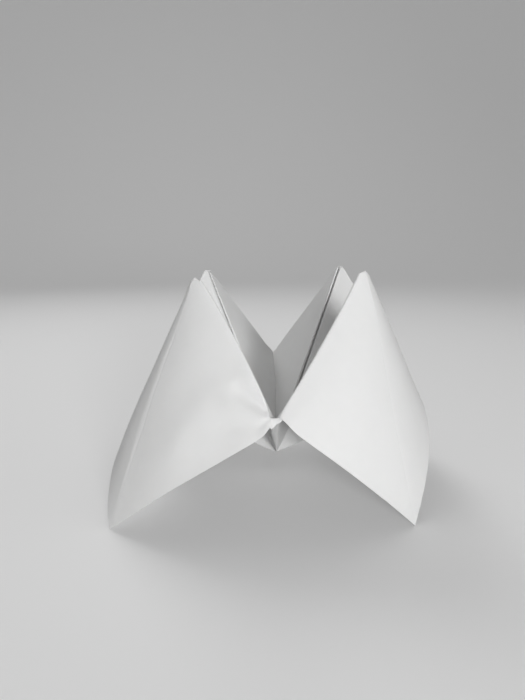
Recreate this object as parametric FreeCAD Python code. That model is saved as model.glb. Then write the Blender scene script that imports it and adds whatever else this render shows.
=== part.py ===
import FreeCAD, Part
import math
import os

# Paper fortune teller: one square sheet, folded twice corners to middle, opened into four
# pockets and stood on the free corners of its outer flaps with the points up.
# X runs to the right, Y away from the viewer and Z up. All lengths are in millimetres.

# The sheet and how it was folded
sheet_side = 210.0
paper_thickness = 0.1
layer_gap = 0.25
fold_shortfall = 0.9
edge_clearance = 0.6
corner_relief = 0.8
tip_bulge = 0.4

# How the folded square stands
centre_height = 5.7
centre_blunt = 0.7
curve_steps = 6
flap_steps = 12
turn_steps = 4

# Each pocket: where its tip leans to, how far it leans and reaches, and where the free corner
# of its flap stands. The last two are for the flap's halves, before and after its diagonal:
# how flat it is beside the folded edge and beside the diagonal (0 is evenly round and 1 is
# flat), and how far its cut edge hangs past the middle of the side.
pockets = [
    {"name": "front_left", "azimuth": 227.5, "lean": 28.6, "tip_reach": -0.7, "flap_reach": 2.5,
     "foot_turn": -14.5, "flat": ((0.9, -0.5), (0.5, 0.4)), "overhang": (0.0, 2.8)},
    {"name": "front_right", "azimuth": 312.4, "lean": 28.9, "tip_reach": 1.7, "flap_reach": -1.1,
     "foot_turn": 2.1, "flat": ((0.1, 0.2), (-0.1, -0.1)), "overhang": (-0.4, 0.0)},
    {"name": "back_right", "azimuth": 404.3, "lean": 28.3, "tip_reach": 0.3, "flap_reach": 0.0,
     "foot_turn": 2.5, "flat": ((0.1, 0.25), (0.1, 0.25)), "overhang": (0.5, 0.8)},
    {"name": "back_left", "azimuth": 496.1, "lean": 28.7, "tip_reach": -0.8, "flap_reach": 0.1,
     "foot_turn": -3.7, "flat": ((0.1, 0.25), (0.1, 0.25)), "overhang": (0.6, 0.2)},
]

# Each side lies between a pocket and the next one. Folding by hand leaves its middle a little
# longer or shorter than the exact fold, a little higher or lower, and slid to one side.
sides = [
    {"name": "front", "stretch": 1.85, "lift": 2.7, "slide": 1.7},
    {"name": "right", "stretch": 1.0, "lift": -3.2, "slide": 0.0},
    {"name": "back", "stretch": 1.1, "lift": 1.3, "slide": 0.0},
    {"name": "left", "stretch": -2.8, "lift": -1.4, "slide": 0.0},
]

# Lengths that follow from the folding
half_fold = sheet_side / 4 + fold_shortfall
pitch = paper_thickness + layer_gap
half_sheet = paper_thickness / 2
tip_cut = 2 * fold_shortfall
diagonal = math.sqrt(2) * half_fold
blunt_depth = math.sqrt(2) * fold_shortfall
layer_three = 0.0
layer_two = pitch
layer_one = 2 * pitch
skins = (half_sheet, -half_sheet)
same_way = 1
half_steps = flap_steps // 2
small_share = 0.001

up = FreeCAD.Vector(0, 0, 1)
centre = FreeCAD.Vector(0, 0, centre_height)


def unit(vector):
    return vector / vector.Length


def slanted(azimuth, lean):
    turn = math.radians(azimuth)
    tilt = math.radians(lean)
    return FreeCAD.Vector(math.sin(tilt) * math.cos(turn), math.sin(tilt) * math.sin(turn), math.cos(tilt))


def plane(normal, point):
    """A plane is kept as its normal and its distance along that normal."""
    return (normal, normal.dot(point))


def shifted(base, distance):
    return (base[0], base[1] + distance)


def mitre(first, second):
    """The plane on which equal offsets of two planes meet."""
    return (first[0] - second[0], first[1] - second[1])


def corner(first, second, third):
    """The point where three planes meet."""
    a, b, c = first[0], second[0], third[0]
    top = b.cross(c) * first[1] + c.cross(a) * second[1] + a.cross(b) * third[1]
    return top / a.dot(b.cross(c))


def slide_to(point, direction, target):
    """Moves a point along a direction until it lies on a plane."""
    return point + direction * ((target[1] - target[0].dot(point)) / target[0].dot(direction))


def smooth(points):
    """A smooth edge through points spaced evenly in its parameter."""
    curve = Part.BSplineCurve()
    curve.interpolate(Points=points, Parameters=[i / (len(points) - 1) for i in range(len(points))])
    return curve.toShape()


def flat(points):
    return Part.Face(Part.makePolygon(points + points[:1]))


def band(first, second):
    """The surface of straight lines between two edges that run the same way."""
    return Part.makeRuledSurface(first, second, same_way)


def strip(first, second):
    """The surface between two rows of points, as flat triangles."""
    faces = []
    for i in range(len(first) - 1):
        faces.append(flat([first[i], first[i + 1], second[i]]))
        faces.append(flat([first[i + 1], second[i + 1], second[i]]))
    return faces


def arched(first, second, outward, skin):
    """Points of a turn from one point to another, bulging outward from the line between them."""
    chord = second - first
    bulge = outward - unit(chord) * outward.dot(unit(chord))
    height = unit(bulge) * (tip_bulge * chord.Length + skin)
    points = []
    for i in range(turn_steps + 1):
        share = i / turn_steps
        points.append(first + chord * share + height * (4 * share * (1 - share)))
    return points


def plate(outer, inner, free):
    """A flat stretch of sheet: its two skins, and a rim on each edge listed as free."""
    faces = [flat(outer), flat(inner)]
    for i in free:
        j = (i + 1) % len(outer)
        faces += strip([outer[i], outer[j]], [inner[i], inner[j]])
    return faces


def turned(origin, axis, across, lift, radius, start, end, target, creep=0):
    """One end of a rolled fold: a row of points on each skin, turned round the axis from one
    angle to another, on an end plane that creeps along the axis as the fold turns."""
    rows = []
    for skin in skins:
        row = []
        for i in range(curve_steps + 1):
            share = i / curve_steps
            angle = start + (end - start) * share
            spoke = across * math.cos(angle) + lift * math.sin(angle)
            point = origin + spoke * (radius + skin)
            row.append(slide_to(point, axis, shifted(target, creep * share)))
        rows.append(row)
    return rows


def roll(first, second, free):
    """A rolled fold between its two ends, with a rim on each end listed as free."""
    faces = []
    ends = [[smooth(row) for row in first], [smooth(row) for row in second]]
    for i in range(len(skins)):
        faces.append(band(ends[0][i], ends[1][i]))
    for i in free:
        faces.append(band(ends[i][0], ends[i][1]))
    return faces


def side_middles():
    """Where the middle of each folded side stands, from the two tips beside it."""
    middles = []
    for i, side in enumerate(sides):
        first = pockets[i]["direction"]
        second = pockets[(i + 1) % 4]["direction"]
        between = unit(first + second)
        outward = unit(first.cross(second))
        if outward.z > 0:
            outward = outward * -1
        opening = math.acos(math.cos(math.pi / 4) / between.dot(first)) - math.radians(side["lift"])
        heading = between * math.cos(opening) + outward * math.sin(opening)
        aside = unit(first - second) * side["slide"]
        middles.append(centre + heading * (half_fold + side["stretch"]) + aside)
    return middles


def wall(tip, middle, ridge):
    """The frame of one wall triangle: x out over the folded edge, y along it to the tip and
    z into the mouth, with the planes that its layers and edges lie on."""
    y = unit(tip - middle)
    x = unit((middle - centre) - y * y.dot(middle - centre))
    z = x.cross(y)
    if z.dot(centre + up * diagonal - middle) < 0:
        z = z * -1
    inward = unit(x * y.dot(ridge) - y * x.dot(ridge))
    if inward.dot(middle - centre) < 0:
        inward = inward * -1
    seam = unit(middle - centre)
    beside = unit(y - seam * seam.dot(y))
    length = (tip - middle).Length
    return {
        "x": x, "y": y, "z": z, "tip": tip, "inward": inward,
        "seam": seam, "beside": plane(beside, middle), "layer": plane(z, middle),
        "folded_edge": middle + (z - x) * (pitch / 2),
        "fold": plane(x, middle - x * (pitch / 2)), "ridge": ridge,
        "shoulder": plane(y, middle + y * (length - tip_cut)),
        "relief": plane(y, middle + y * (length - tip_cut - corner_relief)),
        "slant": plane(y + z * (corner_relief / (3 * pitch)),
                       middle + y * (length - tip_cut - corner_relief) + z * layer_one),
    }


def fold_end(w, target):
    """Where the fold of layer three into layer two ends."""
    quarter = math.pi / 2
    return turned(w["folded_edge"], w["y"], w["x"], w["z"], pitch / 2, -quarter, quarter, target)


def set_seams(first, second):
    """What two walls share at the valley between them, and where their loose layers stop."""
    shared = mitre(first["layer"], second["layer"])
    half_angle = first["z"].getAngle(second["z"]) / 2
    setback = (layer_one + half_sheet) * math.tan(half_angle) + edge_clearance / 2
    for w in (first, second):
        w["valley"] = shared
        w["edge"] = shifted(w["beside"], setback)
        w["apex"] = plane(w["seam"], centre + w["seam"] * (tip_cut + setback + 3 * pitch))
        corner_point = corner(w["edge"], w["fold"], shifted(w["layer"], layer_one))
        w["flap_end"] = plane(w["y"], corner_point)

    # The folds of the two walls run into each other, halfway between their own ends
    rows = []
    for one, other in zip(fold_end(first, shared), fold_end(second, shared)):
        rows.append([(point + mate) / 2 for point, mate in zip(one, other)])
    for w in (first, second):
        w["fold_start"] = rows


def wall_faces(w, floor_level):
    """The three pressed layers of a wall and the two folds that join them."""
    inset = plane(w["inward"], centre + w["inward"] * (blunt_depth + pitch / 2))
    faces = []

    # Layer three, the middle of the sheet, reaches from the blunt centre to the tip
    outlines = []
    for skin, row in zip(skins, reversed(w["fold_start"])):
        level = shifted(w["layer"], layer_three + skin)
        outlines.append([
            corner(level, w["valley"], shifted(floor_level, skin)),
            row[0],
            corner(level, w["fold"], w["relief"]),
            corner(level, w["fold"], w["shoulder"]),
            corner(level, w["crest"], w["tip_plane"]),
            corner(level, w["crest"], shifted(floor_level, skin)),
        ])
    w["shoulder_points"] = [outline[3] for outline in outlines]
    w["peak_points"] = [outline[4] for outline in outlines]
    w["valley_foot"] = [outline[0] for outline in outlines]
    w["crest_foot"] = [outline[5] for outline in outlines]
    faces += plate(outlines[0], outlines[1], [2])

    # Layer two turns in over the folded edge and layer one turns back along the diagonal
    for height, side_plane, end_plane, free in (
        (layer_two, w["valley"], w["relief"], [1, 3]),
        (layer_one, w["edge"], w["slant"], [0, 1, 3]),
    ):
        outlines = []
        for skin, row in zip(skins, w["fold_start"]):
            level = shifted(w["layer"], height + skin)
            outlines.append([
                row[-1] if height == layer_two else corner(level, w["fold"], side_plane),
                corner(level, side_plane, w["apex"]),
                corner(level, w["apex"], inset),
                corner(level, inset, w["relief"]),
                corner(level, end_plane, w["fold"]),
            ])
        faces += plate(outlines[0], outlines[1], free)

    faces += roll(w["fold_start"], fold_end(w, w["relief"]), [1])
    diagonal_fold = centre + w["inward"] * (blunt_depth + pitch / 2) + w["z"] * (1.5 * pitch)
    ends = []
    for target in (w["apex"], w["relief"]):
        ends.append(turned(diagonal_fold, w["ridge"], w["inward"] * -1, w["z"], pitch / 2,
                           -math.pi / 2, math.pi / 2, target))
    faces += roll(ends[0], ends[1], [0, 1])
    return faces


def flap_cone(first, second, foot):
    """The right circular cone through the two folded edges and the diagonal of a flap."""
    tip = first["tip"]
    start = first["y"] * -1
    end = second["y"] * -1
    middle = unit(foot - tip)
    axis = unit((middle - start).cross(end - middle))
    if axis.dot(start) < 0:
        axis = axis * -1
    outward = unit(middle * axis.dot(middle) - axis)
    return {"axis": axis, "middle": middle, "outward": outward, "reach": (foot - tip).Length}


def ruling(cone, start, swing, flat_share, share):
    """The direction of one straight line of the flap, between the folded edge and the diagonal."""
    on_cone = FreeCAD.Rotation(cone["axis"], math.degrees(swing * share)).multVec(start)
    opening = start.getAngle(cone["middle"])
    on_plane = start * math.sin(opening * (1 - share)) + cone["middle"] * math.sin(opening * share)
    flat_here = flat_share[0] + (flat_share[1] - flat_share[0]) * share
    return unit(on_cone + (on_plane / math.sin(opening) - on_cone) * flat_here)


def flap_half(w, cone, flat_share, overhang):
    """Half of an outer flap, from the fold round the wall's edge to the flap's diagonal."""
    tip = w["tip"]
    start = w["y"] * -1
    axis = cone["axis"]
    middle = cone["middle"]
    swing = (start - axis * axis.dot(start)).getAngle(middle - axis * axis.dot(middle))
    if axis.dot(start.cross(middle)) < 0:
        swing = -swing
    leaving = ruling(cone, start, swing, flat_share, small_share) - start
    end_angle = math.atan2(leaving.dot(w["x"]), -leaving.dot(w["z"]))
    radius = 1.5 * pitch
    spoke = w["x"] * math.cos(end_angle) + w["z"] * math.sin(end_angle)
    ends = []
    for target, creep in ((w["flap_end"], -overhang), (w["slant"], 0)):
        ends.append(turned(w["folded_edge"], w["y"], w["x"], w["z"], radius, math.pi / 2, end_angle,
                           target, creep))
    faces = roll(ends[0], ends[1], [0, 1])

    # The free edge is straight on the sheet, so on the cone it is a secant of the flat angle.
    # Between two rulings the skin is flat, and it starts from the shoulder or from the peak.
    root = slide_to(w["folded_edge"] + spoke * radius, w["y"], shifted(w["flap_end"], -overhang))
    edge_start = (root - tip).dot(start) - overhang
    stand_off = root - tip - start * (edge_start + overhang)
    growth = cone["reach"] * math.cos(math.pi / 4) / edge_start
    normals = [spoke]
    for i in range(1, flap_steps):
        heading = ruling(cone, start, swing, flat_share, i / flap_steps)
        ahead = ruling(cone, start, swing, flat_share, i / flap_steps + small_share)
        normal = unit(heading.cross(ahead))
        normals.append(normal if normal.dot(normals[-1]) > 0 else normal * -1)
    normals.append(cone["outward"])
    edges = []
    tops = []
    for skin in skins:
        points = []
        for i, normal in enumerate(normals):
            share = i / flap_steps
            heading = ruling(cone, start, swing, flat_share, share)
            length = edge_start / math.cos(math.pi / 4 * share) * (1 + (growth - 1) * share)
            length += overhang * (1 - share) ** 2
            points.append(tip + stand_off * (1 - share) + heading * length + normal * skin)
        edges.append(points)
        shoulder = slide_to(w["folded_edge"] + spoke * (radius + skin), w["y"], w["slant"])
        peak = tip + middle * blunt_depth + cone["outward"] * skin
        tops.append((shoulder, peak))
        for i in range(flap_steps):
            faces.append(flat([points[i], points[i + 1], shoulder if i < half_steps else peak]))
        faces.append(flat([shoulder, points[half_steps], peak]))
    faces += strip(edges[0], edges[1])

    # The blunt tip: the first fold still joins the middle of the sheet to the flap here, in a
    # turn that is tight at the shoulder and wider over the crest
    turns = []
    for i, skin in enumerate(skins):
        shoulder = arched(w["shoulder_points"][i], tops[i][0], w["x"] + w["z"], skin)
        crown = arched(w["peak_points"][i], tops[i][1], w["ridge"], skin)
        turns.append(shoulder)
        faces += strip(shoulder, crown)
    faces += strip(turns[0], turns[1])
    return faces


def folded_sheet():
    for pocket in pockets:
        pocket["direction"] = slanted(pocket["azimuth"], pocket["lean"])
        pocket["tip"] = centre + pocket["direction"] * (diagonal + pocket["tip_reach"])
    middles = side_middles()

    # Each pocket has a wall towards the side before it and one towards the side after it
    for i, pocket in enumerate(pockets):
        pocket["walls"] = [wall(pocket["tip"], middles[side % 4], pocket["direction"]) for side in (i - 1, i)]
        crest = mitre(pocket["walls"][0]["layer"], pocket["walls"][1]["layer"])
        for w in pocket["walls"]:
            w["crest"] = crest
            w["tip_plane"] = plane(pocket["direction"], pocket["tip"] - pocket["direction"] * blunt_depth)
    for i in range(4):
        set_seams(pockets[i]["walls"][1], pockets[(i + 1) % 4]["walls"][0])

    floor_level = plane(up, centre + up * centre_blunt)
    faces = []
    for pocket in pockets:
        drop = pocket["tip"].z
        slant = diagonal + pocket["tip_reach"] + pocket["flap_reach"]
        foot_azimuth = math.radians(pocket["azimuth"] + pocket["foot_turn"])
        spread = math.sqrt(slant * slant - drop * drop)
        step = FreeCAD.Vector(math.cos(foot_azimuth), math.sin(foot_azimuth), 0) * spread
        foot = pocket["tip"] + step - up * drop
        cone = flap_cone(pocket["walls"][0], pocket["walls"][1], foot)
        for w, flat_share, overhang in zip(pocket["walls"], pocket["flat"], pocket["overhang"]):
            faces += wall_faces(w, floor_level)
            faces += flap_half(w, cone, flat_share, overhang)

    # The blunt centre is a small flat star that closes layer three
    for skin in range(2):
        star = []
        for pocket in pockets:
            star.append(pocket["walls"][0]["valley_foot"][skin])
            star.append(pocket["walls"][0]["crest_foot"][skin])
        faces.append(flat(star))

    skin_set = Part.Compound(faces)
    skin_set.sewShape(0.001)
    solid = Part.Solid(skin_set.Shells[0] if skin_set.ShapeType != "Shell" else skin_set)
    if solid.Volume < 0:
        solid.reverse()
    return solid


def seated(solid):
    """Sets the middle of the outline at the origin, with the lowest free corner at zero."""
    box = solid.BoundBox
    return solid.translated(FreeCAD.Vector(-box.Center.x, -box.Center.y, -box.ZMin))


os.makedirs("parts", exist_ok=True)
sheet = folded_sheet()
print("valid", sheet.isValid(), "shells", len(sheet.Shells), "faces", len(sheet.Faces))
print("volume", round(sheet.Volume, 2), "of", round(sheet_side ** 2 * paper_thickness, 2), "cubic mm")
seated(sheet).exportStep("parts/folded_sheet.step")
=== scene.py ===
import math

import bpy
from mathutils import Euler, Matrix, Quaternion, Vector, noise


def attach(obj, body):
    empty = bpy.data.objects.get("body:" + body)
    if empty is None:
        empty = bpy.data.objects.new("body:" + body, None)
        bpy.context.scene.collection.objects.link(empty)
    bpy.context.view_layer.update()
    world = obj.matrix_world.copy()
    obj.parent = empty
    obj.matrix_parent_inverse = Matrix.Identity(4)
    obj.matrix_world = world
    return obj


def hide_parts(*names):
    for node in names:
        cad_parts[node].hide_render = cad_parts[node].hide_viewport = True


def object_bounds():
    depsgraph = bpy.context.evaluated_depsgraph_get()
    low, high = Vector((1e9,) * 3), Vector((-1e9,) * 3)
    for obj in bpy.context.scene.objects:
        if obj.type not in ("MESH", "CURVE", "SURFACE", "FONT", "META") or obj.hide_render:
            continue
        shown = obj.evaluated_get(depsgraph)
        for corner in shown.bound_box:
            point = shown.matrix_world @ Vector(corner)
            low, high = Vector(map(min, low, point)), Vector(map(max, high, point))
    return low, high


# Paper fortune teller: one sheet of white copy paper, folded, opened into four pockets and
# stood on the free corners of its outer flaps. Shapes are worked out in millimetres and
# written to Blender in metres. X is right, Y away from the camera, Z up.

mm = 0.001
quarterTurn = math.pi / 2
up = Vector((0, 0, 1))

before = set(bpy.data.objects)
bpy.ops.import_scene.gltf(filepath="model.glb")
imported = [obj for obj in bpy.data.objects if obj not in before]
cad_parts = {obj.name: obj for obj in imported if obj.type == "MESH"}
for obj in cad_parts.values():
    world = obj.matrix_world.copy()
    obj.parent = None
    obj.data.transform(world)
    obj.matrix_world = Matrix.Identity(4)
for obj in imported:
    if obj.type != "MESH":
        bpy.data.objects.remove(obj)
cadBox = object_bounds()
print("frame loaded")


# the fold, in millimetres
fold = {
    "sheetSide": 210.0,
    "paperThickness": 0.1,
    "layerGap": 0.25,          # air left between pressed layers
    "foldShortfall": 0.9,      # how far each fold lies outside its exact line
    "edgeClearance": 0.6,      # between the cut edges of neighbouring layers
    "cornerRelief": 0.3,       # how far layers are cut back at the tip's corners
    "tipBulge": 0.4,           # how round the turned-over tip is, for its length
    "centreHeight": 5.7,       # of the sheet's centre above the free corners
    "centreBlunt": 0.7,        # how high above the centre its flat star lies
}

# where each tip leans and how far it reaches, where its flap's free corner stands and how far
# its pressed layers spring open, in degrees. Flat and overhang are for the flap's halves,
# before and after its middle: how flat it is near the folded edge and near its middle (0 is
# evenly round, 1 is flat), and how far the cut edge hangs past the fold. Blunt is half of how
# far the folded edges stop short of the tip, and slit is half the gap that the tucked-in
# layers leave along the diagonal
pockets = [
    {"name": "front left", "azimuth": 227.5, "lean": 28.6,
     "tipReach": 0.0, "flapReach": 2.2, "footTurn": -15.4, "spring": (0.9, 1.8),
     "flat": ((0.9, -0.5), (0.5, 0.4)), "overhang": (0.0, 2.8), "blunt": 1.4, "slit": 0.5},
    {"name": "front right", "azimuth": 312.4, "lean": 28.9,
     "tipReach": 2.1, "flapReach": -1.4, "footTurn": 3.4, "spring": (0.7, 1.5),
     "flat": ((0.1, 0.2), (-0.1, -0.1)), "overhang": (-0.4, 0.0), "blunt": 1.1, "slit": 0.5},
    {"name": "back right", "azimuth": 404.3, "lean": 28.3,
     "tipReach": -0.2, "flapReach": 0.5, "footTurn": 2.5, "spring": (0.5, 1.1),
     "flat": ((0.1, 0.25), (0.1, 0.25)), "overhang": (0.5, 0.8), "blunt": 0.55, "slit": 0.3},
    {"name": "back left", "azimuth": 496.1, "lean": 28.7,
     "tipReach": -0.9, "flapReach": 0.2, "footTurn": -3.7, "spring": (0.8, 1.7),
     "flat": ((0.1, 0.25), (0.1, 0.25)), "overhang": (0.6, 0.2), "blunt": 0.8, "slit": 0.4},
]

# the middle of each side, between a pocket and the next one, as folded by hand: how far it is
# stretched out, lifted (in degrees) and slid sideways, and half the width of its blunt fold
sides = [
    {"name": "front", "stretch": 1.85, "lift": 2.7, "slide": 1.7, "ridge": 3.0},
    {"name": "right", "stretch": 1.0, "lift": -3.2, "slide": 0.0, "ridge": 0.9},
    {"name": "back", "stretch": 1.1, "lift": 1.3, "slide": 0.0, "ridge": 1.5},
    {"name": "left", "stretch": -2.8, "lift": -1.4, "slide": 0.0, "ridge": 0.9},
]

halfFold = fold["sheetSide"] / 4 + fold["foldShortfall"]
pitch = fold["paperThickness"] + fold["layerGap"]
halfSheet = fold["paperThickness"] / 2
diagonal = math.sqrt(2) * halfFold
centreCut = 2 * fold["foldShortfall"]
centre = up * fold["centreHeight"]


def slanted(azimuth, lean):
    turn, tilt = math.radians(azimuth), math.radians(lean)
    return Vector((math.sin(tilt) * math.cos(turn), math.sin(tilt) * math.sin(turn), math.cos(tilt)))


# a plane is kept as its normal and its distance along that normal
def plane(normal, point):
    return normal, normal.dot(point)


def shifted(base, distance):
    return base[0], base[1] + distance


def mitre(first, second):
    return first[0] - second[0], first[1] - second[1]


def corner(first, second, third):
    a, b, c = first[0], second[0], third[0]
    top = b.cross(c) * first[1] + c.cross(a) * second[1] + a.cross(b) * third[1]
    return top / a.dot(b.cross(c))


def slideTo(point, direction, target):
    return point + direction * ((target[1] - target[0].dot(point)) / target[0].dot(direction))


def spread(start, end, shares):
    return [start.lerp(end, share) for share in shares]


def sideMiddle(i):
    first, second = pockets[i]["direction"], pockets[(i + 1) % 4]["direction"]
    between = (first + second).normalized()
    outward = first.cross(second).normalized()
    if outward.z > 0:
        outward = -outward
    opening = math.acos(math.cos(math.pi / 4) / between.dot(first)) - math.radians(sides[i]["lift"])
    heading = between * math.cos(opening) + outward * math.sin(opening)
    sideways = (first - second).normalized() * sides[i]["slide"]
    return centre + heading * (halfFold + sides[i]["stretch"]) + sideways


# one wall triangle of a pocket: x runs out over its folded edge, y along that edge to the tip
# and z into the mouth; its layers are planes that touch circles round the folded edge
class Wall:
    def __init__(self, pocket, middle):
        tip, ridge = pocket["tip"], pocket["direction"]
        self.pocket, self.tip, self.middle, self.ridge = pocket, tip, middle, ridge
        y = (tip - middle).normalized()
        x = ((middle - centre) - y * y.dot(middle - centre)).normalized()
        z = x.cross(y)
        if z.dot(centre + up * diagonal - middle) < 0:
            z = -z
        self.x, self.y, self.z = x, y, z
        inward = (x * y.dot(ridge) - y * x.dot(ridge)).normalized()
        if inward.dot(middle - centre) < 0:
            inward = -inward
        self.inward = inward
        self.seam = (middle - centre).normalized()
        beside = (y - self.seam * self.seam.dot(y)).normalized()
        self.beside = plane(beside, middle)
        self.axis = middle + z * (pitch / 2) - x * (pitch / 2)
        self.fold = plane(x, self.axis)
        self.length = (tip - middle).length
        self.full = self.length - 2 * pocket["blunt"]
        self.bluntDepth = math.sqrt(2) * pocket["blunt"]
        self.shoulder = plane(y, middle + y * self.full)
        self.relief = plane(y, middle + y * (self.full - fold["cornerRelief"]))
        self.inset = plane(inward, centre + inward * (pocket["slit"] + pitch / 2))
        self.angles = [0.0] + [math.radians(angle) for angle in pocket["spring"]]
        self.levels = [plane(z, self.axis - z * (pitch / 2))]
        for angle, radius in zip(self.angles[1:], (pitch / 2, 1.5 * pitch)):
            leaning = z * math.cos(angle) + x * math.sin(angle)
            self.levels.append(plane(leaning, self.axis + leaning * radius))

    # how far a point lies along the folded edge, beside the seam and out along the seam
    def place(self, point):
        away = point - self.middle
        return self.y.dot(away), self.beside[0].dot(away), self.seam.dot(point - centre)


def shareSeam(first, second):
    halfAngle = first.z.angle(second.z) / 2
    setback = (2 * pitch + halfSheet) * math.tan(halfAngle) + fold["edgeClearance"] / 2
    between = (first.z + second.z).normalized()
    for w in (first, second):
        w.valleys = [mitre(first.levels[i], second.levels[i]) for i in range(2)]
        w.valleyUp = between
        w.dihedral = halfAngle
        w.edge = shifted(w.beside, setback)
        w.apex = plane(w.seam, centre + w.seam * (centreCut + setback + 3 * pitch))
        w.outward = (first.x + second.x).normalized()


# how finely the sheet is divided
detail = {
    "edgeCells": 44,
    "edgePull": 0.7,
    "rowCells": 19,
    "rowPull": 1.2,
    "flapCells": 32,
    "flapPull": 0.6,
    "shortEdge": 1.0,          # an edge up to this long gets the fewer steps
    "shortSteps": 2,
    "longSteps": 4,
    "rollCells": 6,
    "turnCells": 6,
    "weldDistance": 0.03,
    "sharpAngle": 42,
}


# shares from 0 to 1: the first pull draws them together at both ends, the last at the far end
def graded(cells, firstPull, lastPull):
    shares = []
    for i in range(cells + 1):
        t = i / cells
        pulled = t - firstPull * math.sin(2 * math.pi * t) / (2 * math.pi)
        late = 1 - (1 - t) ** (1 + lastPull)
        shares.append(pulled * (1 - t * lastPull / (1 + lastPull)) + late * t * lastPull / (1 + lastPull))
    return shares


edgeShares = graded(detail["edgeCells"], detail["edgePull"], 0.0)
rowShares = graded(detail["rowCells"], 0.0, detail["rowPull"])
flapShares = graded(detail["flapCells"], detail["flapPull"], 0.0)


class SheetMesh:
    def __init__(self):
        self.points = []
        self.faces = []
        self.crease = []
        self.walls = []

    # rows of points of one wall, each with how close it is to a fold, joined into four-sided cells
    def grid(self, w, rows, creases):
        start = len(self.points)
        width = len(rows[0])
        for row, marks in zip(rows, creases):
            self.points += row
            self.crease += marks
            self.walls += [w] * width
        for i in range(len(rows) - 1):
            for j in range(width - 1):
                a = start + i * width + j
                self.faces.append((a, a + 1, a + width + 1, a + width))


# where the front corners of two flaps have been pulled apart, their folds are dragged along
# and the rounded fold between them shows as a lip. Each entry is for a pocket and a wall: the
# push on the loose outer layers, the push that the inner layers share, the push that peaks a
# little way along the fold, how far the lip hangs, and how far the pushes and the lip reach
pulledMiddles = {
    (0, 1): {
        "outer": Vector((-0.9, 0.0, -0.3)),
        "inner": Vector((-1.2, 0.0, -0.1)),
        "along": Vector(),
        "lip": Vector((0.2, -0.1, -2.0)),
        "reach": 4.5,
        "lipReach": 0.8,
    },
    (1, 0): {
        "outer": Vector((1.2, -0.2, 0.25)),
        "inner": Vector((-1.2, 0.0, -0.1)),
        "along": Vector((1.0, 0.0, -0.5)),
        "lip": Vector((0.7, -0.5, -1.9)),
        "reach": 4.5,
        "lipReach": 3.8,
    },
}
peakScale = 2.33               # brings the top of x * exp(-x * x) to 1


def dragged(w, rows, layers):
    pull = pulledMiddles.get(w.key)
    if pull is None:
        return rows
    moved = []
    for row in rows:
        line = []
        for point in row:
            far = (point - w.middle).length / pull["reach"]
            push = pull[layers] * math.exp(-far ** 2)
            if layers == "inner":
                push += pull["along"] * (peakScale * far * math.exp(-far ** 2))
            line.append(point + push)
        moved.append(line)
    return moved


def lipBulges(w, edge):
    bulges = [w.outward * (pitch / 2)] + [w.x * (pitch / 2)] * (len(edge) - 1)
    pull = pulledMiddles.get(w.key)
    if pull is None:
        return bulges
    return [bulge + pull["lip"] * nearness((point - w.middle).length, pull["lipReach"])
            for bulge, point in zip(bulges, edge)]


def allCrease(rows):
    return [[1.0] * len(rows[0])] * len(rows)


def nearness(distance, reach):
    return math.exp(-(distance / reach) ** 2)


def ripple(point, size, seed):
    return noise.noise(point / size + Vector((seed * 7.3, seed * 3.1, seed * 5.7)))


# pressed layers bow a little between their folds, and the loose one flutters
layerShape = {
    "bow": (0.5, 0.35, 0.55),
    "flutter": 0.9,
    "flutterLift": 0.45,
    "flutterSize": 17.0,
    "creaseReach": 1.2,
}


def layerPatch(w, index):
    level = w.levels[index]
    if index == 0:
        footStart = corner(level, w.valleys[0], w.floorLevel)
        footEnd = corner(level, w.crest, w.floorLevel)
        foldStart = corner(level, w.valleys[0], w.fold)
        foldEnd = corner(level, w.fold, w.relief)
        closing = [corner(level, w.fold, w.shoulder), corner(level, w.crest, w.tipPlane)]
    else:
        side = w.valleys[1] if index == 1 else w.edge
        footStart = corner(level, side, w.apex)
        footEnd = corner(level, w.apex, w.inset)
        foldStart = corner(level, w.fold, side)
        foldEnd = corner(level, w.fold, w.relief)
        closing = [corner(level, w.inset, w.relief)]
    outer = spread(foldStart, foldEnd, edgeShares)
    last = foldEnd
    for target in closing:
        short = (target - last).length < detail["shortEdge"]
        steps = detail["shortSteps"] if short else detail["longSteps"]
        outer += spread(last, target, [(i + 1) / steps for i in range(steps)])
        last = target
    run = [0.0]
    for first, second in zip(outer, outer[1:]):
        run.append(run[-1] + (second - first).length)
    foot = spread(footStart, footEnd, [length / run[-1] for length in run])

    rows, creases = [], []
    seed = w.seed + index
    for t in rowShares:
        row, marks = [], []
        for j, (low, high) in enumerate(zip(foot, outer)):
            s = run[j] / run[-1]
            point = low.lerp(high, t)
            alongHold = math.sin(math.pi * min(s, 1)) if index == 0 else 1 - s ** 3
            hold = 4 * t * (1 - t) * alongHold
            lift = layerShape["bow"][index] * hold
            if index == 2:
                loose = (1 - s) ** 3 * math.sin(math.pi * t)
                wave = layerShape["flutterLift"] + ripple(point, layerShape["flutterSize"], seed)
                lift += layerShape["flutter"] * loose * wave
            row.append(point + level[0] * lift)
            span = (high - low).length
            reach = layerShape["creaseReach"]
            toDiagonal = (run[-1] - run[j]) * t
            toSeam = run[j] * t
            mark = max(nearness((1 - t) * span, reach), nearness(toDiagonal, reach))
            if index < 2:
                mark = max(mark, nearness(toSeam, reach))
            marks.append(mark)
        rows.append(row)
        creases.append(marks)
    return rows, creases, outer[:len(edgeShares)]


# a fold's rounded back between two lines of points
def roundedFold(first, second, bulges):
    rows = []
    for i in range(detail["rollCells"] + 1):
        angle = math.pi * i / detail["rollCells"]
        row = []
        for a, b, bulge in zip(first, second, bulges):
            row.append((a + b) / 2 + (a - b) / 2 * math.cos(angle) + bulge * math.sin(angle))
        rows.append(row)
    return rows


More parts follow.
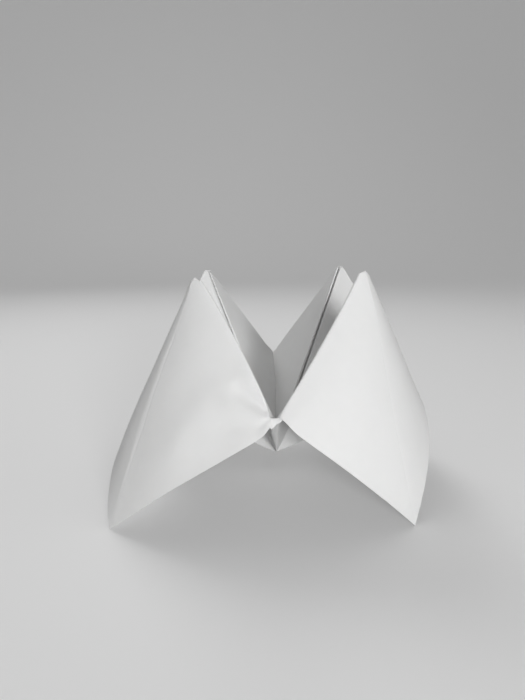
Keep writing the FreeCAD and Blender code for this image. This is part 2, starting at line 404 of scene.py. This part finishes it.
# slow and fine waves in each half flap, which die away towards its two folds and the tip
flapShape = {
    "wave": 0.8,
    "waveSize": 24.0,
    "waveFade": 0.8,
    "fine": 0.12,
    "fineSize": 7.0,
    "fineCrowding": 1.15,      # ends the fine waves before the flap's middle
    "creaseReach": 1.6,
    "middleCrease": 0.6,
    "leavingShare": 0.04,      # over which the flap's way out of the fold is taken
    "normalShare": 0.02,
}


def flapCone(pocket):
    first, second = pocket["walls"]
    start, end = -first.y, -second.y
    middle = (pocket["foot"] - pocket["tip"]).normalized()
    axis = (middle - start).cross(end - middle).normalized()
    if axis.dot(start) < 0:
        axis = -axis
    pocket["axis"] = axis
    pocket["halfAngle"] = math.acos(axis.dot(start))
    pocket["middle"] = middle
    pocket["reach"] = (pocket["foot"] - pocket["tip"]).length


def flapPatch(w):
    pocket = w.pocket
    axis, middle = pocket["axis"], pocket["middle"]
    start = -w.y
    flatStart = start - axis * axis.dot(start)
    flatMiddle = middle - axis * axis.dot(middle)
    swing = flatStart.angle(flatMiddle)
    if axis.dot(start.cross(middle)) < 0:
        swing = -swing

    def heading(share):
        onCone = Quaternion(axis, swing * share) @ start
        opening = start.angle(middle)
        fromStart = start * math.sin(opening * (1 - share))
        fromMiddle = middle * math.sin(opening * share)
        onPlane = (fromStart + fromMiddle) / math.sin(opening)
        nearFold, nearMiddle = w.flatness
        return (onCone + (onPlane - onCone) * (nearFold + (nearMiddle - nearFold) * share)).normalized()

    leaving = (heading(flapShape["leavingShare"]) - heading(0)).normalized()
    endAngle = math.atan2(leaving.dot(w.x), -leaving.dot(w.z))
    radius = 1.5 * pitch
    spoke = w.x * math.cos(endAngle) + w.z * math.sin(endAngle)
    flapEnd = plane(w.y, corner(w.levels[2], w.edge, w.fold))
    root = slideTo(w.axis + spoke * radius, w.y, shifted(flapEnd, -w.overhang))
    shoulder = slideTo(w.axis + spoke * radius, w.y, w.slant)
    peak = w.tip + middle * w.bluntDepth
    edgeStart = (root - w.tip).dot(start) - w.overhang
    standOff = root - w.tip - start * (edgeStart + w.overhang)
    growth = pocket["reach"] * math.cos(math.pi / 4) / edgeStart

    rows, creases = [], []
    step = flapShape["normalShare"]
    for share in flapShares:
        direction = heading(share)
        ahead = heading(min(share + step, 1)) - heading(max(share - step, 0))
        normal = ahead.cross(direction).normalized() * math.copysign(1, swing)
        if normal.dot(w.tip - centre - up * diagonal) < 0:
            normal = -normal
        length = edgeStart / math.cos(math.pi / 4 * share) * (1 + (growth - 1) * share)
        length += w.overhang * (1 - share) ** 2
        low = w.tip + standOff * (1 - share) + direction * length
        high = shoulder.lerp(peak, share)
        row, marks = [], []
        for along in edgeShares:
            point = low.lerp(high, along)
            free = math.sin(math.pi * min(share * flapShape["fineCrowding"], 1))
            hold = math.sin(math.pi * share) * (1 - along) ** flapShape["waveFade"]
            lift = flapShape["wave"] * hold * ripple(point, flapShape["waveSize"], w.seed)
            lift += flapShape["fine"] * hold * free * ripple(point, flapShape["fineSize"], w.seed + 9)
            row.append(point + normal * lift)
            distance = (low - high).length * (1 - along)
            width = (1 - share) * swing * math.sin(pocket["halfAngle"]) * distance
            marks.append(max(nearness(width, flapShape["creaseReach"]) * flapShape["middleCrease"],
                             nearness(share * distance, flapShape["creaseReach"])))
        rows.append(row)
        creases.append(marks)

    rollRows = []
    firstAngle = quarterTurn - w.angles[2]
    for i in range(detail["rollCells"] + 1):
        angle = firstAngle + (endAngle - firstAngle) * i / detail["rollCells"]
        onRoll = w.axis + (w.x * math.cos(angle) + w.z * math.sin(angle)) * radius
        near = shifted(flapEnd, -w.overhang * i / detail["rollCells"])
        far = w.relief if i == 0 else w.slant
        rollRows.append(spread(slideTo(onRoll, w.y, near), slideTo(onRoll, w.y, far), edgeShares))
    return rows, creases, rollRows, (shoulder, peak)


# the turned-over blunt tip, which joins the middle of the sheet to the flap
def tipPatch(w, tops):
    level = w.levels[0]
    shoulderStart = corner(level, w.fold, w.shoulder)
    peakStart = corner(level, w.crest, w.tipPlane)
    rows = []
    for across in (0, 0.25, 0.5, 0.75, 1):
        first = shoulderStart.lerp(peakStart, across)
        second = tops[0].lerp(tops[1], across)
        chord = second - first
        outward = (w.x + w.z).lerp(w.ridge, across)
        bulge = (outward - chord.normalized() * outward.dot(chord.normalized())).normalized()
        row = []
        for i in range(detail["turnCells"] + 1):
            t = i / detail["turnCells"]
            row.append(first.lerp(second, t) + bulge * (fold["tipBulge"] * chord.length * 4 * t * (1 - t)))
        rows.append(row)
    return rows


def foldedGeometry():
    sheet = SheetMesh()
    for pocket in pockets:
        pocket["direction"] = slanted(pocket["azimuth"], pocket["lean"])
        pocket["tip"] = centre + pocket["direction"] * (diagonal + pocket["tipReach"])
    middles = [sideMiddle(i) for i in range(4)]
    for i, pocket in enumerate(pockets):
        pocket["walls"] = [Wall(pocket, middles[(i - 1) % 4]), Wall(pocket, middles[i])]
    for i in range(4):
        shareSeam(pockets[i]["walls"][1], pockets[(i + 1) % 4]["walls"][0])
        for w in (pockets[i]["walls"][1], pockets[(i + 1) % 4]["walls"][0]):
            w.side = sides[i]

    floorLevel = plane(up, centre + up * fold["centreBlunt"])
    for i, pocket in enumerate(pockets):
        tip, direction = pocket["tip"], pocket["direction"]
        reach = diagonal + pocket["tipReach"] + pocket["flapReach"]
        out = math.sqrt(reach ** 2 - tip.z ** 2)
        toFoot = math.radians(pocket["azimuth"] + pocket["footTurn"])
        pocket["foot"] = tip + Vector((math.cos(toFoot) * out, math.sin(toFoot) * out, -tip.z))
        flapCone(pocket)
        crest = mitre(pocket["walls"][0].levels[0], pocket["walls"][1].levels[0])
        for k, w in enumerate(pocket["walls"]):
            w.crest = crest
            w.floorLevel = floorLevel
            w.tipPlane = plane(direction, tip - direction * w.bluntDepth)
            w.slant = plane(w.y + w.z * (fold["cornerRelief"] / (3 * pitch)),
                            w.middle + w.y * (w.full - fold["cornerRelief"]) + w.z * 2 * pitch)
            w.seed = i * 20 + k * 10
            w.key = (i, k)
            w.flatness = pocket["flat"][k]
            w.overhang = pocket["overhang"][k]
            edges = []
            patches = []
            for index in range(3):
                rows, creases, foldRow = layerPatch(w, index)
                rows = dragged(w, rows, "outer" if index == 2 else "inner")
                sheet.grid(w, rows, creases)
                patches.append(rows)
                edges.append(rows[-1][:len(foldRow)])
            rows = roundedFold(edges[0], edges[1], lipBulges(w, edges[0]))
            sheet.grid(w, rows, allCrease(rows))
            lastTwo = [row[-1] for row in patches[1]]
            lastOne = [row[-1] for row in patches[2]]
            rows = roundedFold(lastTwo, lastOne, [w.inward * (-pitch / 2)] * len(lastTwo))
            sheet.grid(w, rows, allCrease(rows))
            rows, creases, rollRows, tops = flapPatch(w)
            sheet.grid(w, dragged(w, rollRows, "outer"), allCrease(rollRows))
            sheet.grid(w, dragged(w, rows, "outer"), creases)
            rows = tipPatch(w, tops)
            sheet.grid(w, rows, allCrease(rows))

    # the small star where the eight walls meet at the blunt centre
    star = []
    for pocket in pockets:
        for w in pocket["walls"]:
            star.append((w, corner(w.levels[0], w.valleys[0], floorLevel),
                         corner(w.levels[0], w.crest, floorLevel)))
    hub = sum((first + second for _, first, second in star), Vector()) / (2 * len(star))
    for w, first, second in star:
        run = spread(first, second, [0, 0.5, 1])
        sheet.grid(w, [run, spread(hub, hub, [0, 0.5, 1])], [[1.0] * 3] * 2)
    return sheet


# what handling has done to the paper, each a push that fades with distance from a spot
handling = {
    "warp": 0.35,              # slow waviness of the whole sheet
    "warpSize": 30.0,
    "middleCrumple": 0.55,     # at the middle of each side, where the layers pull
    "middleReach": 4.5,
    "middleSize": 3.2,
    "tipCrumple": 0.25,
    "tipReach": 3.5,
    "tipSize": 2.0,
    "footHold": 8.0,           # the warp grows over this height, so that the feet stay put
    "centreRidge": 0.4,        # half width of the blunted folds at the centre
    "centreFlat": 1.0,         # how far above its point the centre is pressed flat
    "centreReach": 8.0,
    "centreSoftness": 0.02,
    "ridgeStart": 0.3,         # how far from the centre the blunted folds begin
    "ridgeFade": 1.0,
    "ridgeDepth": 2.5,
    "ridgeSoftness": 0.36,
    "ridgeEdge": 4.0,          # how far beside a blunted fold it is still worked out
    "bowReach": 16.0,
}

# how far the middle of a folded edge bows sideways: pocket, wall, and the push in millimetres
edgeBows = [
    (0, 1, Vector((1.4, 0.3, 0.2))),
    (1, 0, Vector((0.8, 0.0, 0.0))),
]


# wrinkles and dents in the flaps, each a soft line through places on the finished object
dents = [
    {"name": "old crease on the front left flap", "width": 1.2, "push": Vector((-0.09, -0.09, 0.05)),
     "line": [Vector((-32.0, -30.0, 51.0)), Vector((-40.3, -34.6, 27.4)), Vector((-46.9, -40.8, 3.8))]},
    {"name": "pinch beside the front middle", "width": 1.5, "push": Vector((0.09, 0.80, -0.38)),
     "line": [Vector((-4.0, -45.9, 36.8)), Vector((-11.5, -42.6, 41.6))]},
    {"name": "fold beside the pinch", "width": 1.6, "push": Vector((-0.06, -0.52, 0.24)),
     "line": [Vector((-5.0, -46.2, 34.6)), Vector((-14.0, -43.6, 37.4))]},
    {"name": "lower pinch", "width": 1.7, "push": Vector((0.06, 0.50, -0.24)),
     "line": [Vector((-6.5, -45.8, 32.4)), Vector((-15.5, -44.6, 31.0))]},
    {"name": "soft arc across the front left flap", "width": 4.2, "push": Vector((-0.08, -0.40, 0.18)),
     "line": [Vector((-27.3, -43.5, 27.6)), Vector((-18.8, -42.2, 38.7)), Vector((-9.8, -41.8, 44.1))]},
    {"name": "hollow under the arc", "width": 4.5, "push": Vector((0.08, 0.40, -0.18)),
     "line": [Vector((-24.0, -44.8, 19.0)), Vector((-14.0, -45.0, 27.0))]},
    {"name": "swelling beside the front right fold", "width": 3.5, "push": Vector((0.04, -0.30, 0.12)),
     "line": [Vector((2.5, -47.6, 32.0)), Vector((10.0, -45.6, 40.0))]},
    {"name": "sagging fold at the back middle", "width": 4.0, "push": Vector((0.3, 0.0, -1.0)),
     "line": [Vector((-4.7, 38.4, 39.1)), Vector((-3.4, 40.6, 37.6))]},
    {"name": "nick in the right middle", "width": 1.6, "push": Vector((0.7, -0.1, 0.3)),
     "line": [Vector((46.4, -2.6, 31.2)), Vector((46.0, -4.2, 32.0))]},
]


def distanceToLine(point, line):
    distances = []
    for first, second in zip(line, line[1:]):
        run = second - first
        share = min(max((point - first).dot(run) / run.length_squared, 0), 1)
        distances.append((point - first - run * share).length)
    return min(distances)


# follows what is over nothing and levels off softly below it
def softRise(over, softness):
    return (over + math.sqrt(over ** 2 + softness)) / 2


leastPush = 0.01               # weaker pushes are left out, to save time


def handled(point):
    moved = point.copy()
    size = handling["warpSize"]
    for k in range(3):
        hold = min(point.z / handling["footHold"], 1)
        moved[k] += handling["warp"] * ripple(point, size, 40 + k) * hold
    for pocket in pockets:
        near = nearness((point - pocket["tip"]).length, handling["tipReach"])
        if near > leastPush:
            for k in range(3):
                moved[k] += handling["tipCrumple"] * near * ripple(point, handling["tipSize"], 60 + k)
        near = nearness((point - pocket["walls"][1].middle).length, handling["middleReach"])
        if near > leastPush:
            for k in range(3):
                moved[k] += handling["middleCrumple"] * near * ripple(point, handling["middleSize"], 50 + k)
    for dent in dents:
        near = nearness(distanceToLine(point + seat, dent["line"]), dent["width"])
        if near > leastPush:
            moved += dent["push"] * near
    if (point - centre).length < handling["centreReach"]:
        level = fold["centreHeight"] + handling["centreFlat"]
        moved.z = level + softRise(moved.z - level, handling["centreSoftness"])
    for index, side, push in edgeBows:
        w = pockets[index]["walls"][side]
        along = w.place(point)[0]
        if 0 < along < w.length:
            away = (point - w.middle - w.y * along).length
            bow = 4 * along / w.length * (1 - along / w.length)
            moved += push * (bow * nearness(away, handling["bowReach"]))
    return moved


# the folds that run from the centre to the middles of the sides are soft and blunt
def blunted(point, w):
    _, beside, out = w.place(point)
    share = min(max(out / halfFold, 0), 1)
    low = handling["centreRidge"]
    width = low + (w.side["ridge"] - low) * share
    over = width - abs(beside)
    if over <= -handling["ridgeEdge"]:
        return Vector()
    fade = min(max((out - handling["ridgeStart"]) / handling["ridgeFade"], 0), 1)
    fade *= nearness(w.z.dot(point - w.middle), handling["ridgeDepth"])
    return w.valleyUp * (softRise(over, handling["ridgeSoftness"]) * math.sin(w.dihedral) * fade)


# sockets that share a name or are picked by their number
sockets = {
    "objectPlace": 3,
    "attributeNumber": 2,
    "mixFirst": 6,
    "mixSecond": 7,
    "mixed": 2,
}


# shader maths written as plain expressions
class Value:
    def __init__(self, graph, socket):
        self.graph, self.socket = graph, socket

    def maths(self, operation, first, second):
        return self.graph.node("ShaderNodeMath", {"operation": operation}, {0: first, 1: second})

    def __add__(self, other):
        return self.maths("ADD", self, other)

    def __sub__(self, other):
        return self.maths("SUBTRACT", self, other)

    def __mul__(self, other):
        return self.maths("MULTIPLY", self, other)

    def __rsub__(self, other):
        return self.maths("SUBTRACT", other, self)

    __radd__ = __add__
    __rmul__ = __mul__


class Graph:
    def __init__(self, owner):
        self.owner = owner
        owner.use_nodes = True
        self.tree = owner.node_tree
        self.tree.nodes.clear()

    def node(self, kind, settings, inputs, output=0):
        made = self.tree.nodes.new(kind)
        for name, value in settings.items():
            setattr(made, name, value)
        for name, value in inputs.items():
            if isinstance(value, Value):
                self.tree.links.new(value.socket, made.inputs[name])
            else:
                made.inputs[name].default_value = value
        return Value(self, made.outputs[output]) if len(made.outputs) else None

    def blend(self, first, second, share):
        ends = {"Factor": share, sockets["mixFirst"]: first, sockets["mixSecond"]: second}
        return self.node("ShaderNodeMix", {"data_type": "RGBA"}, ends, sockets["mixed"])

    # 1 for what the camera sees, straight or in a reflection or through glass, and 0 for light
    def looks(self):
        seen = [self.node("ShaderNodeLightPath", {}, {}, "Is %s Ray" % kind)
                for kind in ("Camera", "Glossy", "Transmission")]
        return seen[0] + seen[1] + seen[2]

    def speckle(self, place, scale, detailLevel, roughness=0.5):
        return self.node("ShaderNodeTexNoise", {}, {"Vector": place, "Scale": scale, "Detail": detailLevel,
                                                    "Roughness": roughness})


paperLook = {
    "base": (0.80, 0.80, 0.795, 1),
    "shade": (0.74, 0.74, 0.735, 1),   # slightly greyer fibres
    "worn": (0.86, 0.86, 0.855, 1),    # rubbed fibres along folds
    "roughness": 0.82,
    "gloss": 0.35,
    "refraction": 1.45,
    "fibreScale": 2600,
    "cloudScale": 240,
    "cloudRoughness": 0.6,
    "cockleScale": 90,
    "rubScale": 900,
    "rubRoughness": 0.65,
    "rubContrast": 1.6,
    "rubStart": 0.35,
    "cloudShade": 0.5,
    "fibreShade": 0.25,
    "wornShade": 0.5,
    "cloudDulling": 0.12,
    "wornDulling": 0.06,
    "fibreBump": 0.10,
    "cockleBump": 0.06,
    "creaseBump": 0.25,
    "bumpStrength": 0.35,
    "bumpDistance": 0.0002,
    "passing": 0.08,                   # share of the light that goes into the paper
    "passingRadius": (1.0, 0.9, 0.8),
    "passingScale": 0.0006,
}


def paperMaterial():
    look = paperLook
    g = Graph(bpy.data.materials.new("copy paper"))
    place = g.node("ShaderNodeTexCoord", {}, {}, sockets["objectPlace"])
    crease = g.node("ShaderNodeAttribute", {"attribute_name": "crease"}, {}, sockets["attributeNumber"])
    fibres = g.speckle(place, look["fibreScale"], 3)
    clouds = g.speckle(place, look["cloudScale"], 4, look["cloudRoughness"])
    cockle = g.speckle(place, look["cockleScale"], 2)
    rub = g.speckle(place, look["rubScale"], 3, look["rubRoughness"])
    worn = crease * (rub * look["rubContrast"] - look["rubStart"])
    mottled = g.blend(look["base"], look["shade"], clouds * look["cloudShade"] + fibres * look["fibreShade"])
    colour = g.blend(mottled, look["worn"], worn * look["wornShade"])
    rough = look["roughness"] + (clouds - 0.5) * look["cloudDulling"] + worn * look["wornDulling"]
    height = fibres * look["fibreBump"] + cockle * look["cockleBump"] + crease * rub * look["creaseBump"]
    bump = g.node("ShaderNodeBump", {}, {
        "Strength": look["bumpStrength"], "Distance": look["bumpDistance"], "Height": height,
    })
    shader = g.node("ShaderNodeBsdfPrincipled", {}, {
        "Base Color": colour, "Roughness": rough, "Normal": bump,
        "IOR": look["refraction"], "Specular IOR Level": look["gloss"],
        "Subsurface Weight": look["passing"], "Subsurface Radius": look["passingRadius"],
        "Subsurface Scale": look["passingScale"],
    })
    g.node("ShaderNodeOutputMaterial", {}, {"Surface": shader})
    return g.owner


# the sheet is worked out round its own centre, then set in the middle of the frame's box
def seatOf(sheet):
    low = Vector([min(point[k] for point in sheet.points) for k in range(3)])
    high = Vector([max(point[k] for point in sheet.points) for k in range(3)])
    shift = (cadBox[0] + cadBox[1]) / 2 / mm - (low + high) / 2
    shift.z = -low.z + halfSheet
    return shift


def buildPaper(sheet):
    placed = [(handled(point) + blunted(point, w) + seat) * mm
              for point, w in zip(sheet.points, sheet.walls)]
    mesh = bpy.data.meshes.new("foldedPaper")
    mesh.from_pydata(placed, [], sheet.faces)
    mark = mesh.attributes.new("crease", "FLOAT", "POINT")
    mark.data.foreach_set("value", sheet.crease)
    paper = bpy.data.objects.new("foldedPaper", mesh)
    bpy.context.scene.collection.objects.link(paper)
    weld = paper.modifiers.new("weld", "WELD")
    weld.merge_threshold = detail["weldDistance"] * mm
    thicken = paper.modifiers.new("thickness", "SOLIDIFY")
    thicken.thickness = fold["paperThickness"] * mm
    thicken.offset = 0
    settled = bpy.data.meshes.new_from_object(paper.evaluated_get(bpy.context.evaluated_depsgraph_get()))
    paper.modifiers.clear()
    paper.data = settled
    settled.name = "foldedPaper"
    for polygon in settled.polygons:
        polygon.use_smooth = True
    settled.set_sharp_from_angle(angle=math.radians(detail["sharpAngle"]))
    settled.materials.clear()
    settled.materials.append(paperMaterial())
    triangles = sum(len(polygon.vertices) - 2 for polygon in settled.polygons)
    print("paper made:", len(settled.vertices), "points,", triangles, "triangles")
    return paper


sheet = foldedGeometry()
seat = seatOf(sheet)
print("folds worked out:", len(sheet.points), "points")
paper = buildPaper(sheet)
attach(paper, "root")
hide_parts("folded_sheet")


stageLook = {
    "floor": (0.60, 0.60, 0.60, 1),
    "glow": (0.22, 0.22, 0.22, 1),     # seen by the camera and in gloss alone
    "roughness": 0.7,
    "gloss": 0.2,
    "floorHalf": 2.2,
    "wallStart": 0.9,
    "wallRadius": 0.5,
    "wallSteps": 12,
}


def floorMaterial():
    g = Graph(bpy.data.materials.new("pale floor"))
    glow = g.blend((0, 0, 0, 1), stageLook["glow"], g.looks())
    shader = g.node("ShaderNodeBsdfPrincipled", {}, {
        "Base Color": stageLook["floor"], "Roughness": stageLook["roughness"],
        "Specular IOR Level": stageLook["gloss"],
        "Emission Color": glow, "Emission Strength": 1.0,
    })
    g.node("ShaderNodeOutputMaterial", {}, {"Surface": shader})
    return g.owner


def buildFloor():
    half, start, radius = stageLook["floorHalf"], stageLook["wallStart"], stageLook["wallRadius"]
    profile = [(-half, 0.0), (start, 0.0)]
    for i in range(stageLook["wallSteps"]):
        angle = quarterTurn * (i + 1) / stageLook["wallSteps"]
        profile.append((start + radius * math.sin(angle), radius - radius * math.cos(angle)))
    profile.append((start + radius, half))
    points = [(x, y, z) for y, z in profile for x in (-half, half)]
    faces = [(2 * i, 2 * i + 1, 2 * i + 3, 2 * i + 2) for i in range(len(profile) - 1)]
    mesh = bpy.data.meshes.new("floor")
    mesh.from_pydata(points, [], faces)
    for polygon in mesh.polygons:
        polygon.use_smooth = True
    mesh.materials.append(floorMaterial())
    floor = bpy.data.objects.new("floor", mesh)
    bpy.context.scene.collection.objects.link(floor)


# places and sizes in metres, power in watts, spread in degrees
lamps = [
    {"name": "key", "place": (0.24, -0.85, 0.15), "size": 0.2, "power": 0.62, "spread": 60},
    {"name": "top", "place": (0.0, 0.3, 1.1), "size": 0.7, "power": 1.0, "spread": 180},
    {"name": "back", "place": (-0.4, 0.8, 0.9), "size": 0.6, "power": 1.0, "spread": 70},
]

lampAim = Vector((0, 0, 0.03))

surroundings = {
    "light": (0.22, 0.22, 0.22, 1),
    "seen": (0.50, 0.50, 0.50, 1),     # beyond the floor, by the camera and in gloss
}


def buildLamps():
    for lamp in lamps:
        light = bpy.data.lights.new(lamp["name"], "AREA")
        light.energy = lamp["power"]
        light.size = lamp["size"]
        light.spread = math.radians(lamp["spread"])
        holder = bpy.data.objects.new(lamp["name"], light)
        holder.location = lamp["place"]
        holder.rotation_euler = (lampAim - Vector(lamp["place"])).to_track_quat("-Z", "Y").to_euler()
        bpy.context.scene.collection.objects.link(holder)
    g = Graph(bpy.data.worlds.new("studio"))
    colour = g.blend(surroundings["light"], surroundings["seen"], g.looks())
    shader = g.node("ShaderNodeBackground", {}, {"Color": colour})
    g.node("ShaderNodeOutputWorld", {}, {"Surface": shader})
    bpy.context.scene.world = g.owner


view = {
    "fromCentre": (-4.17, -186.7, 81.2),   # from the spot under the sheet's centre
    "pitchDown": 11.25,
    "yaw": -0.13,
    "roll": -0.47,
    "lens": 28.05,
    "sensor": 36,
    "clipStart": 0.01,
}


def buildCamera():
    camera = bpy.data.cameras.new("camera")
    camera.lens = view["lens"]
    camera.sensor_width = view["sensor"]
    camera.clip_start = view["clipStart"]
    holder = bpy.data.objects.new("camera", camera)
    holder.location = (seat + Vector(view["fromCentre"])) * mm
    aim = Euler((math.radians(90 - view["pitchDown"]), 0, math.radians(-view["yaw"])), "XYZ").to_matrix()
    turn = Euler((0, 0, math.radians(view["roll"])), "XYZ").to_matrix()
    holder.rotation_euler = (aim @ turn).to_euler()
    bpy.context.scene.collection.objects.link(holder)
    bpy.context.scene.camera = holder


buildFloor()
buildLamps()
buildCamera()
bpy.context.scene.view_settings.view_transform = "Standard"
print("stage, lamps and camera placed")
